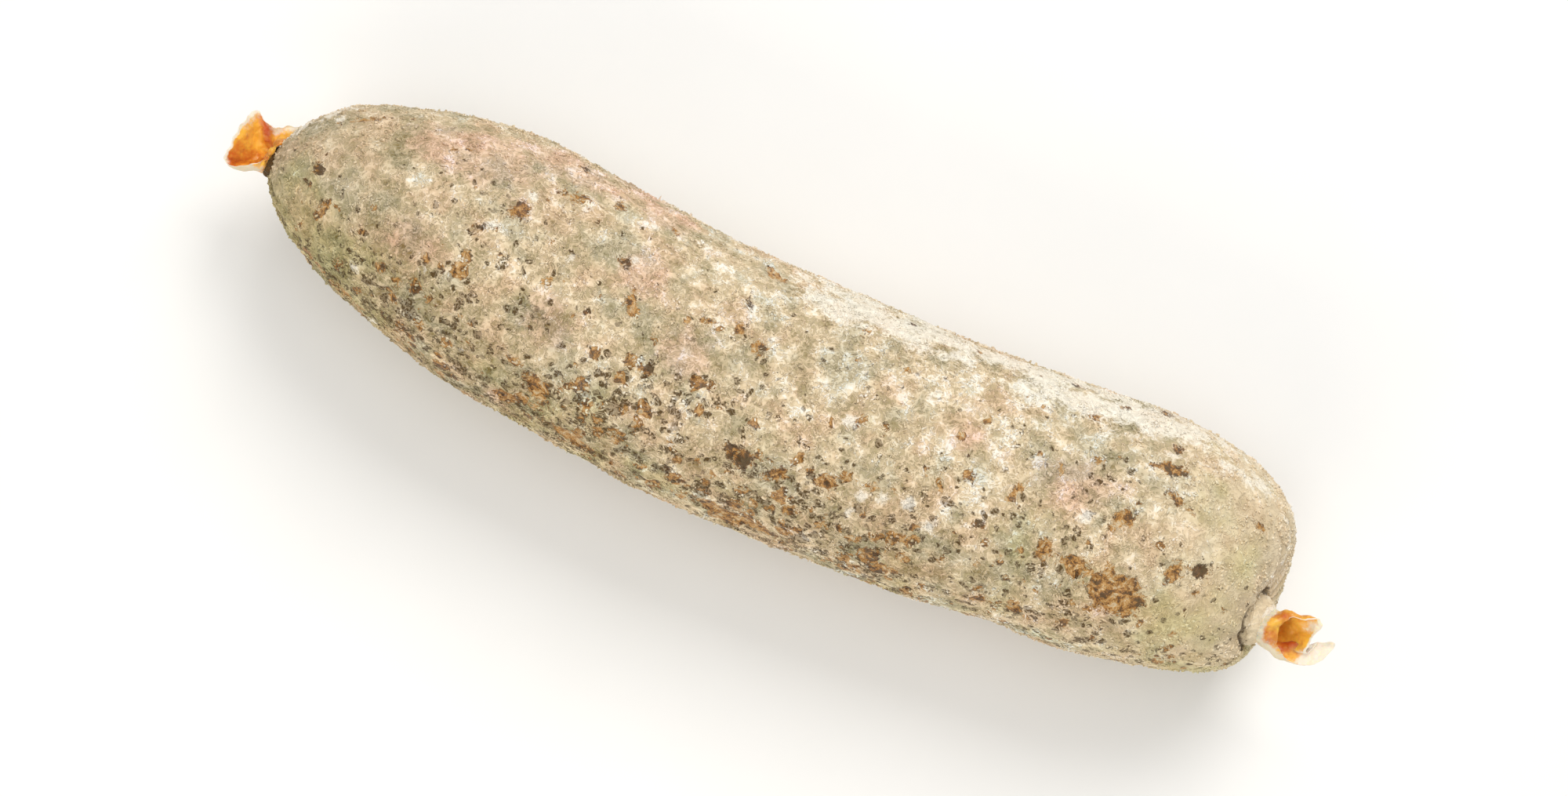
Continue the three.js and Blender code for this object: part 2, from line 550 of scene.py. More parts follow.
@dataclass(frozen=True)
class MouldCoat:
    """Dry, powdery mould over brown casing: cream strands and grains, grey-green and flesh-coloured
    fields, olive pits, chalky spots, worn places where the casing shows, and painted shade in the
    groove round the blunt neck and over the tapered neck. The whitish band on the +Y flank and the
    arc on the blunt collar are partly chalky mould and partly a painted highlight."""

    pit: Colour = srgb(74, 52, 18)
    olive: Colour = srgb(128, 108, 62)
    grey: Colour = srgb(173, 157, 121)
    beige: Colour = srgb(201, 180, 145)
    cream: Colour = srgb(229, 210, 177)
    chalk_and_highlight: Colour = srgb(244, 237, 222)
    flesh: Colour = srgb(204, 166, 138)
    rose: Colour = srgb(200, 171, 136)
    slate: Colour = srgb(180, 168, 138)
    verdigris: Colour = srgb(186, 171, 122)
    casing: Colour = srgb(162, 110, 44)
    casing_dark: Colour = srgb(84, 50, 16)
    casing_pale: Colour = srgb(190, 146, 86)

    def material(self) -> bpy.types.Material:
        """The finished material."""
        r = Recipe("mould_coat")
        place = r.place()
        stir = r.node("ShaderNodeTexNoise", None, {"Vector": place, "Scale": 1 / 4.0}, "Color")
        bent = r.shifted(place, stir, 1.6)
        broad = r.noise(place, 24.0, 2.0)
        patch = r.noise(bent, 5.5, 4.0, Roughness=0.62)
        grain = r.noise(place, 1.2, 3.0, Roughness=0.65)
        curl = self._curls(r, bent, 3.0).larger(self._curls(r, place, 1.7))
        ragged = patch * 4 + grain * 2.5 - curl * 0.35

        lively = 1 - r.attribute("calm") * 0.7
        rough = patch * 1.5 + grain * 0.55 + curl * 0.22
        thick = r.attribute("coat") + rough * lively + broad * 0.4
        mould = r.ramp(
            thick,
            (0.05, self.olive),
            (0.33, self.grey),
            (0.55, self.beige),
            (0.8, self.cream),
            (1.0, self.chalk_and_highlight),
        )
        hue = r.noise(bent, 10.0, 2.0, Roughness=0.5)
        blush = r.attribute("blush") + patch * 14
        greenish = r.attribute("green") + r.noise(place, 14.0, 3.0) * 1.6
        for share, tint in (
            (hue.step(0.0, 0.15) * lively * 0.75, self.slate),
            ((hue * -1).step(0.0, 0.15) * lively * 0.75, self.rose),
            (blush.step(-2.0, 3.5, (0.0, 0.55)), self.flesh),
            (greenish.step(0.3, 0.9, (0.0, 0.8)), self.verdigris),
        ):
            mould = r.tinted(share, mould, self._tint(tint))

        crowd = r.attribute("pitted") + broad * 0.8
        small = r.spots(bent, 2.4, 1.2, crowd * 0.6 + 0.25, grain * 2.4).step(-0.1, 0.22)
        large = r.spots(bent, 6.0, 2.4, crowd * 0.5 + 0.14, ragged * 0.8).step(-0.15, 0.4)
        pits = small.larger(large)
        mould = r.mix(pits * (1 - curl * 0.4) * 0.9, mould, self.pit)
        # Chalky mould; the band on the +Y flank and the arc on the blunt collar are partly a painted
        # highlight.
        chalk_and_highlight_share = (r.attribute("chalk_and_highlight") + patch * 6 + grain * 3 + curl * 0.4).step(-0.5, 1.2)
        mould = r.mix(chalk_and_highlight_share * 0.7, mould, self.chalk_and_highlight)

        amber = r.spots(bent, 4.6, 2.6, crowd * 0.55 + 0.2, ragged * 0.8).step(-0.15, 0.3)
        torn = patch * 8 + grain * 4 - curl * 0.5
        worn = (r.attribute("bare") + torn).step(-0.8, 0.2).larger(amber * 0.95)
        # The dark value holds the skin's dark spots, and painted shade over the tapered end's gathered
        # neck.
        dark = (r.attribute("dark") + torn).step(-0.8, 0.3)
        shade = r.noise(bent, 2.6, 4.0, Roughness=0.75) * 2.6 - dark * 0.3 - worn * 0.05 + 0.58
        skin = r.ramp(
            shade,
            (0.1, self.pit),
            (0.34, self.casing_dark),
            (0.52, self.casing),
            (0.68, self.casing_pale),
            (0.86, self.beige),
        )
        open_share = worn.larger(dark)
        colour = r.mix(open_share * 0.92, mould, skin)
        # Painted shade, darkening towards the pit colour, in the groove round the blunt end's gathered
        # neck and over the tapered end's gathered neck.
        painted_crease_shade = (r.attribute("painted_crease_shade") + grain * 1.5).step(-0.6, 0.4)
        colour = r.mix(painted_crease_shade * 0.8, colour, self.pit)

        height = thick * 0.3 + curl * 0.1 - open_share * 0.2 - pits * 0.25
        return r.finish(
            {
                "Base Color": colour,
                "Roughness": open_share.step(0.0, 1.0, (0.93, 0.6)),
                "Normal": r.bump(height),
                "Specular IOR Level": 0.2,
                "Sheen Weight": 0.16,
                "Sheen Roughness": 0.35,
                "Sheen Tint": (1.0, 0.95, 0.85, 1.0),
            }
        )

    def _curls(self, recipe: Recipe, place: Value, size: float) -> Value:
        """Thin curly strands, 1 in their middle: where a stirred noise is close to nothing."""
        noise = recipe.noise(place, size, 1.0, Distortion=1.0)
        return (noise * noise * -220 + 1).step(0.0, 1.0)

    def _tint(self, colour: Colour) -> Colour:
        """A colour as a multiplier on beige, so that beige takes that colour."""
        return tuple(min(c / b, 1.0) for c, b in zip(colour, self.beige))


@dataclass(frozen=True)
class DriedGut:
    """Thin dried casing, amber, with a painted glow of honey where light comes through it inside the
    scoops and painted shade deepening to red in its folds, where the layers also lie double, with
    mould and pale frayed edges on its outside."""

    honey: Colour = srgb(240, 178, 64)
    amber: Colour = srgb(210, 134, 44)
    fold_shade_red: Colour = srgb(190, 84, 24)
    edge: Colour = srgb(240, 233, 220)
    powder: Colour = srgb(212, 202, 178)

    def material(self) -> bpy.types.Material:
        """The finished material."""
        r = Recipe("dried_gut")
        place = r.place()
        cloud = r.noise(place, 3.0, 3.0, Roughness=0.6)
        vein = r.noise(place, 0.9, 3.0, Roughness=0.6)
        # Low values give a painted glow of honey, high values painted shade deepening to red in the
        # folds.
        deep = r.attribute("fold") + cloud * 1.5 + vein * 0.4
        colour = r.ramp(deep, (0.0, self.honey), (0.4, self.amber), (0.9, self.fold_shade_red))
        pale = (r.attribute("rim") + vein * 0.7 + cloud * 0.4).step(0.4, 0.95)
        colour = r.mix(pale * 0.85, colour, self.edge)
        powdery = (r.attribute("mould") + cloud * 0.9 + vein * 0.6).step(0.25, 0.65)
        colour = r.mix(powdery * 0.95, colour, self.powder)
        return r.finish(
            {
                "Base Color": colour,
                "Roughness": powdery.step(0.0, 1.0, (0.36, 0.9)),
                "Normal": r.bump(vein * 0.15 + cloud * 0.15),
                "Subsurface Weight": 0.3,
                "Subsurface Radius": (1.0, 0.45, 0.12),
                "Subsurface Scale": 0.0015,
                "Sheen Weight": 0.1,
            }
        )


# The filled body


@dataclass(frozen=True)
class End:
    """One rounded end of the body, in millimetres.

    Over its length the radius grows as (1 - (1 - d)^2)^power, with d the share of the length. It
    is set back by a dimple at its tip, and leans back so that the tip looks upwards.
    """

    side: int
    length: float
    power: float
    shift_y: float
    shift_z: float
    dimple: float
    dimple_radius: float
    lean_slope: float
    lean_foot: float
    lean_radius: float

    def from_tip(self, share: Array) -> Array:
        """How far from the tip the end has that share of the full radius."""
        return self.length * (1 - np.sqrt(1 - share ** (1 / self.power)))

    def set_back(self, height: Array, from_axis: Array) -> Array:
        """How far it is set back: the dimple, and the lean, which fade with distance from the axis."""
        lean = self.lean_slope * (height - self.lean_foot) * bell(from_axis, self.lean_radius)
        return self.dimple * bell(from_axis, self.dimple_radius) + lean


class Kind(enum.Enum):
    """What a mark on the skin is."""

    BARE = "bare"
    DARK = "dark"
    BLUSH = "blush"
    CHALK = "chalk_and_highlight"


@dataclass(frozen=True)
class Mark:
    """One mark on the skin.

    Fields:
        kind: What it is.
        along: Its place along X, in millimetres from mid-length.
        turn: Its place round the body, in degrees from the top towards the hollow side.
        long: Its length in millimetres.
        wide: Its width in millimetres.
        slant: How far its length is turned from X, in degrees.
    """

    kind: Kind
    along: float
    turn: float
    long: float
    wide: float
    slant: float = 0.0


# Each row: along, turn, long, wide and, where the mark is turned, slant.
MARKS = tuple(
    Mark(kind, *numbers)
    for kind, rows in {
        Kind.BARE: (
            (105, -27, 16, 12, -15), (92, -21, 9, 5, -15), (83, -20, 5, 5), (-57, -44, 9, 5, -40),
            (11, -28, 7, 4, 30), (23, -23, 5, 3), (-8, 18, 4, 5, 60), (-14, 23, 3, 3),
            (-43, 12, 3, 5, 30), (-34, 3, 3, 3), (-11, 60, 8, 5, -20), (6, -66, 28, 5, -4),
            (-45, -63, 12, 4, -10), (-130, 52, 9, 3, 20), (70, 3, 2, 4), (106, 37, 8, 4, 10),
            (111, 22, 8, 2, -10), (-69, 44, 6, 4, 20), (-81, 24, 5, 4, 40), (98, 6, 6, 5, 40),
            (117, -8, 5, 7, 20),
        ),
        Kind.DARK: (
            (-1, -27, 8, 5), (-31, -10, 3, 3), (126, -3, 8, 4), (-135, 4, 3, 4), (-136, -10, 3, 4),
        ),
        Kind.BLUSH: (
            (-61, -12, 16, 13), (-102, -10, 18, 14), (-82, 26, 9, 6), (84, 14, 22, 14),
            (-98, 44, 40, 22), (-72, 62, 34, 16),
        ),
        Kind.CHALK: (
            (105, 44, 6, 3), (45, -19, 4, 4),
        ),
    }.items()
    for numbers in rows
)


@dataclass
class SausageBody:
    """The filled body: a bent, tapered and lumpy roll that rests on a narrow flat.

    Fields:
        tapered: The end at the low side of X.
        blunt: The end at the high side of X.
        bend: How far both ends stand to the +Y side of the middle.
        bend_reach: From mid-length to where the bend is fullest.
        belly_rise: Extra radius where it is fattest.
        belly_x: Where along X that is.
        belly_spread: How quickly that fades.
        flat_depth: How far the underside is pressed in.
        relief: Lumps of several widths: height and width in millimetres, seed and octaves.
        slope_back: How much further back the end slopes above the blunt tip.
        groove_centre: From the blunt tip to the middle of the groove round the gathered neck.
        groove_radius: Radius of that groove.
        groove_depth: Its depth.
        groove_width: Its width.
        floor_softness: How gently the underside comes to rest on the floor.
        rings: Rows of the surface along its length.
        spokes: Columns of the surface round it.
    """

    tapered: End = End(-1, 78, 0.55, -2, -3, 0, 6, 0, 0, 16)
    blunt: End = End(1, 60, 0.29, -8, 8, 1.6, 11, 0.55, -7, 16)
    bend: float = 7.0
    bend_reach: float = 135.0
    belly_rise: float = 1.1
    belly_x: float = -18.0
    belly_spread: float = 48.0
    flat_depth: float = 1.2
    relief: tuple[tuple[float, float, int, int], ...] = (
        (0.9, 46, 3, 2), (0.45, 15, 5, 2), (0.24, 5.5, 7, 2), (0.15, 2.6, 9, 1),
    )
    slope_back: float = 3.8
    groove_centre: tuple[float, float, float] = (-1.0, 0.0, 1.5)
    groove_radius: float = 8.2
    groove_depth: float = 1.6
    groove_width: float = 1.4
    floor_softness: float = 0.12
    rings: int = 336
    spokes: int = 288

    def __post_init__(self) -> None:
        """Takes the length and the radius from the frame's box, and works out the surface."""
        low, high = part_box("sausage")
        self.half = -low.x / MM
        self.radius = (high.z / MM + self.flat_depth - self.belly_rise) / 2
        self.axis_height = self.radius - self.flat_depth
        self.points, self.values = self._surface()

    def _bend_at(self, x: Array) -> Array:
        """How far the centre line stands to the +Y side: half a cosine wave up to the bend's reach."""
        return self.bend * (1 - np.cos(np.pi * np.minimum(np.abs(x) / self.bend_reach, 1))) / 2

    def tip(self, end: End) -> Array:
        """The very tip of an end."""
        x = end.side * (self.half - end.set_back(0, 0))
        return np.array((x, self._bend_at(x) + end.shift_y, self.axis_height + end.shift_z))

    def _outline(self) -> tuple[Array, Array]:
        """The straight outline at even steps along its own length.

        Returns:
            Place along X and radius, from tip to tip.
        """
        share = np.sin(np.linspace(0, np.pi / 2, 400))
        run = np.linspace(-self.half + self.tapered.length, self.half - self.blunt.length, 400)[1:-1]
        blunt = (self.half - self.blunt.from_tip(share))[::-1]
        x = np.concatenate((-self.half + self.tapered.from_tip(share), run, blunt))
        fraction = np.concatenate((share, np.ones(len(run)), share[::-1]))
        belly = self.belly_rise * bell(x - self.belly_x, self.belly_spread)
        radius = fraction * (self.radius + belly)
        walked = np.concatenate(((0,), np.cumsum(np.hypot(np.diff(x), np.diff(radius)))))
        even = np.linspace(0, walked[-1], self.rings + 2)[1:-1]
        return np.interp(even, walked, x), np.interp(even, walked, radius)

    def _plain(self) -> tuple[Array, Array, Array]:
        """The body without its relief.

        A ring of the outline's radius stands round the bent centre line at each X. Near a tip it
        moves by the end's shift times (1 - share of the radius)^2, and is set back.

        Returns:
            Places (rings by spokes by 3), place along X and turn from the top, each as a grid.
        """
        x, radius = (a[:, None] for a in self._outline())
        turn = np.linspace(-np.pi, np.pi, self.spokes, endpoint=False)[None, :]
        near = np.maximum(1 - radius / self.radius, 0) ** 2
        height = radius * np.cos(turn)
        halves = []
        for end in (self.tapered, self.blunt):
            forward = x - end.side * end.set_back(height, radius)
            sideways = self._bend_at(x) + end.shift_y * near + radius * np.sin(turn)
            upward = self.axis_height + end.shift_z * near + height
            halves.append(np.stack((forward, sideways, upward), axis=-1))
        points = np.where((x < 0)[..., None], *halves)
        return points, x + 0 * turn, turn + 0 * x

    def _marks(self, along: Array, turn: Array) -> Fields:
        """How deep each place lies inside the nearest mark of each kind.

        An oval mark's depth is (1 - distance over half-size) times its smaller half-size, in
        millimetres, and negative outside. The chosen marks come first, then a seeded scatter.

        Args:
            along: Place along X.
            turn: Turn from the top, in radians.

        Returns:
            A grid of depths for each kind's name.
        """
        rng = np.random.default_rng(11)
        scatter = []
        for kind, count, least, most in (
            (Kind.BARE, 70, 1.0, 3.0),
            (Kind.DARK, 60, 1.0, 2.8),
            (Kind.CHALK, 46, 1.5, 4.0),
            (Kind.BLUSH, 14, 8.0, 18.0),
        ):
            for wide in least + (most - least) * rng.random(count) ** 2:
                x = rng.uniform(-self.half + 8, self.half - 6)
                around = rng.uniform(-180, 180)
                long = wide * rng.uniform(1.0, 1.6)
                scatter.append(Mark(kind, x, around, long, wide, rng.uniform(-90, 90)))
        depth = {kind.value: np.full(along.shape, -8.0) for kind in Kind}
        for mark in (*MARKS, *scatter):
            slant = math.radians(mark.slant)
            across = np.mod(turn - math.radians(mark.turn) + np.pi, 2 * np.pi) - np.pi
            across = across * self.radius
            ahead = along - mark.along
            u = (ahead * math.cos(slant) + across * math.sin(slant)) / (mark.long / 2)
            v = (across * math.cos(slant) - ahead * math.sin(slant)) / (mark.wide / 2)
            inside = (1 - np.hypot(u, v)) * min(mark.long, mark.wide) / 2
            depth[mark.kind.value] = np.maximum(depth[mark.kind.value], inside)
        return depth

    def _surface(self) -> tuple[Array, Fields]:
        """The finished surface.

        The plain grid moves along its normals by lumps of several widths, by creases that run into
        the two tips, and inwards where a mark is bare or dark and in a groove round the blunt end's
        gathered neck. Above the blunt tip the end slopes back a little more. What would pass the
        floor is pressed flat: a height h becomes
        w ln(1 + exp(h / w)), with w the softness.

        Returns:
            The grid of places and the named values at them.
        """
        points, along, turn = self._plain()
        values = self._marks(along, turn)
        relief = sum(high * Grain(seed)(points, wide, deep) for high, wide, seed, deep in self.relief)
        relief -= 0.35 * smooth(-0.6, 1.0, values["bare"]) + 0.4 * smooth(-0.6, 0.9, values["dark"])
        relief += 0.18 * smooth(-0.5, 1.0, values["chalk_and_highlight"])
        tip = self.tip(self.blunt)
        groove = np.linalg.norm(points - tip - self.groove_centre, axis=-1) - self.groove_radius
        relief -= self.groove_depth * bell(groove, self.groove_width)
        creases = self._creases(points, along, turn)
        points = points + grid_normals(points) * (relief + creases)[..., None]
        above = smooth(1, 17, points[..., 2] - tip[2]) * bell(points[..., 1] - tip[1], 15)
        points[..., 0] -= self.slope_back * above * smooth(self.half - 40, self.half - 12, along)
        points[..., 2] = self.floor_softness * np.logaddexp(0, points[..., 2] / self.floor_softness)

        ends = smooth(self.half - 60, self.half - 8, np.abs(along))
        hollow_side, degrees = np.sin(turn), np.degrees(turn)
        coat_and_painted_light = 0.15 * smooth(self.half - 60, self.half - 20, along) - 0.1 * smooth(35, 100, -along)
        # Painted light and shade: the mould colour is darker in the crease valleys and lighter on their
        # crests, with a painted highlight along the -Y edge of the blunt half.
        coat_and_painted_light += 0.16 * creases + 0.12 * bell(degrees + 82, 20) * smooth(-30, 30, along)
        coat_and_painted_light -= 0.06 * bell(degrees + 50, 26) * bell(along + 60, 75)
        values["coat"] = 0.49 + 0.08 * hollow_side + coat_and_painted_light + 0.06 * Grain(21)(points, 30, 2)
        values["green"] = 0.15 - 0.3 * hollow_side + 0.4 * ends + 0.3 * Grain(23)(points, 40)
        values["pitted"] = 0.35 - 0.4 * hollow_side - 0.3 * ends + 0.35 * Grain(25)(points, 34, 2)
        values["pitted"] += 0.5 * bell(degrees + 50, 28) * bell(along + 45, 75)
        values["calm"] = ends * np.where(along > 0, 1.0, 0.3)
        # Painted shade in the groove round the blunt end's gathered neck, fading below the tip.
        below = smooth(1, 8, tip[2] - points[..., 2])
        values["painted_crease_shade"] = 1.1 - 1.1 * np.abs(groove - 0.3) - 1.5 * below
        # A whitish streaky band along the +Y flank, the side the key light falls on: partly chalky
        # mould, partly a painted highlight.
        reach = smooth(-30, 10, along) * (1 - 0.5 * ends) + 0.75 * smooth(115, 138, -along)
        edge = bell(degrees - 66, 26) * reach
        streaks = Grain(27)(points * (0.35, 1, 1), 7, 2)
        values["chalk_and_highlight"] = np.maximum(values["chalk_and_highlight"], -2.2 + 3.3 * edge * (1 + 0.5 * streaks))
        return points, values

    def _creases(self, points: Array, along: Array, turn: Array) -> Array:
        """Shallow creases that gather at the tips: waves round the body that fade away from them.

        Args:
            points: Places, in millimetres.
            along: How far along the body each lies, from its middle.
            turn: How far round the body each lies, in radians.

        Returns:
            How far the skin stands out at each place, in millimetres.
        """
        wander = 1.4 * Grain(31)(points, 26, 2)
        blunt = smooth(self.half - 26, self.half - 2, along)
        tapered = smooth(-self.half + 60, -self.half + 4, along)
        close = 0.3 * np.cos(15 * turn + 3 * wander) + 0.2 * np.cos(27 * turn + 5 * wander)
        return blunt * close + tapered * 0.16 * np.cos(19 * turn + 4 * wander)

    def build(self, material: bpy.types.Material) -> None:
        """Makes the body and dresses it in the mould coat."""
        capped(self.points, self.values).piece("body", material, COAT_SLOT, "sausage")


@dataclass
class MouldCrumbs:
    """Small crumbs and strands of mould that stand proud of the body, sown by the thousand.

    Fields:
        body: What they grow on.
        each: How many to a piece.
        pieces: How many pieces.
        long: Typical length in millimetres.
        wide: Typical width.
        tall: Typical height.
        sunk: How much of the height lies below the surface.
        unrolled: Length and girth of the body's skin in millimetres, laid flat.
        clearance: How far above the floor the lowest crumbs are kept.
    """

    body: SausageBody
    each: int = 9000
    pieces: int = 3
    long: float = 1.05
    wide: float = 0.5
    tall: float = 0.42
    sunk: float = 0.35
    unrolled: tuple[float, float] = (400, 230)
    clearance: float = 0.02

    def _crumb(self) -> tuple[Array, Array]:
        """A closed crumb of two five-sided rings and two points, about one unit long.

        Returns:
            Twelve places, with X along, Y across and Z up, and twenty triangles.
        """
        spin = np.arange(5) * 2 * np.pi / 5
        rings = [
            np.stack((np.full(5, x), np.cos(spin + turn) / 2, np.sin(spin + turn) / 2), axis=-1)
            for x, turn in ((-0.24, 0.0), (0.24, np.pi / 5))
        ]
        points = np.concatenate((*rings, ((-0.5, 0, 0), (0.5, 0, 0))))
        here, after = np.arange(5), (np.arange(5) + 1) % 5
        faces = (
            np.stack((np.full(5, 10), after, here), axis=-1),
            np.stack((here, after, here + 5), axis=-1),
            np.stack((after, after + 5, here + 5), axis=-1),
            np.stack((np.full(5, 11), here + 5, after + 5), axis=-1),
        )
        return points, np.concatenate(faces)

    def _sites(self, rng: np.random.Generator) -> tuple[Array, Array]:
        """Where crumbs stand: rows and columns of the body's grid, with fractions.

        Cells are drawn by their area, and only where no mark lies bare or dark.

        Args:
            rng: The seeded source of lots.

        Returns:
            Rows and columns.
        """
        grid, values = self.body.points, self.body.values
        side = np.linalg.norm(np.diff(grid, axis=0), axis=-1)
        over = np.linalg.norm(np.roll(grid, -1, axis=1) - grid, axis=-1)[:-1]
        clear = np.maximum(values["bare"], values["dark"])[:-1] < -0.4
        lush = 0.25 + smooth(-0.5, 0.5, Grain(41)(grid, 9, 2)[:-1])
        weight = (side * over * clear * lush).ravel()
        chosen = rng.choice(weight.size, self.each, p=weight / weight.sum())
        row, column = np.divmod(chosen, grid.shape[1])
        return row + rng.random(self.each), column + rng.random(self.each)

    def _at(self, grid: Array, row: Array, column: Array) -> Array:
        """A grid's values at rows and columns with fractions, blended from the four round each.

        Args:
            grid: The grid, whose last column meets its first.
            row: The rows.
            column: The columns.

        Returns:
            One value for each row and column.
        """
        r, c = row.astype(int), column.astype(int)
        extra = (1,) * (grid.ndim - 2)
        fr, fc = (row - r).reshape(-1, *extra), (column - c).reshape(-1, *extra)
        after = (c + 1) % grid.shape[1]
        top = grid[r, c] * (1 - fc) + grid[r, after] * fc
        low = grid[r + 1, c] * (1 - fc) + grid[r + 1, after] * fc
        return top * (1 - fr) + low * fr

    def _skin(self, seed: int) -> Skin:
        """One piece's crumbs.

        Each crumb takes its own length, width and height, is turned at random in the surface and
        tipped a little, and is sunk by a share of its height.

        Args:
            seed: The seed of its lots.

        Returns:
            The closed crumbs, unwrapped to where they stand on the body.
        """
        rng = np.random.default_rng(seed)
        row, column = self._sites(rng)
        at = self._at(self.body.points, row, column)
        up = unit(self._at(grid_normals(self.body.points), row, column))
        lay = unit(np.cross(up, unit(rng.normal(size=up.shape))))
        axes = np.stack((lay, np.cross(up, lay), up), axis=1)
        size = np.exp(rng.normal(0, 0.38, (self.each, 3))) * (self.long, self.wide, self.tall)
        lean = rng.uniform(-0.25, 0.25, (self.each, 1))
        crumb, faces = self._crumb()
        wobble = 1 + rng.uniform(-0.25, 0.25, (self.each, len(crumb), 3))
        local = crumb[None] * wobble * size[:, None, :]
        local[..., 2] += (0.5 - self.sunk) * size[:, None, 2] + lean * local[..., 0]
        points = at[:, None, :] + local @ axes
        points[..., 2] = np.maximum(points[..., 2], self.clearance)
        every = (faces[None] + np.arange(self.each)[:, None, None] * len(crumb)).reshape(-1, 3)
        here = {k: self._at(v, row, column) for k, v in self.body.values.items()}
        values = {k: np.repeat(v, len(crumb)) for k, v in here.items()}
        values["coat"] = values["coat"] + 0.12
        values["pitted"] = values["pitted"] - 0.6
        rings, columns = self.body.points.shape[:2]
        flat = np.stack(((row + 1) / (rings + 1), column / columns), axis=-1)
        spread = flat[:, None, :] + local[..., :2] / self.unrolled
        unwrap = np.clip(spread.reshape(-1, 2), 0, 1)[every.ravel()]
        return Skin(points.reshape(-1, 3), every.tolist(), values, unwrap)

    def build(self, material: bpy.types.Material) -> None:
        """Makes the pieces and dresses them in the mould coat."""
        for number in range(1, self.pieces + 1):
            self._skin(100 + number).piece(f"mould_crumbs_{number}", material, COAT_SLOT)


# The dried casing ends


@dataclass(frozen=True)
class Patch:
    """Where on a sleeve one of its values is raised.

    Fields:
        value: The value's name.
        bearing: Round the sleeve, in degrees.
        share: Share of the way from the neck to the rim.
        spread: How quickly it fades round the sleeve, in degrees.
        reach: How quickly it fades along the way.
        rise: How much is added.
        inside: Whether only the inside takes it, or only the outside. None is both.
    """

    value: str
    bearing: float
    share: float
    spread: float
    reach: float
    rise: float
    inside: bool | None = None


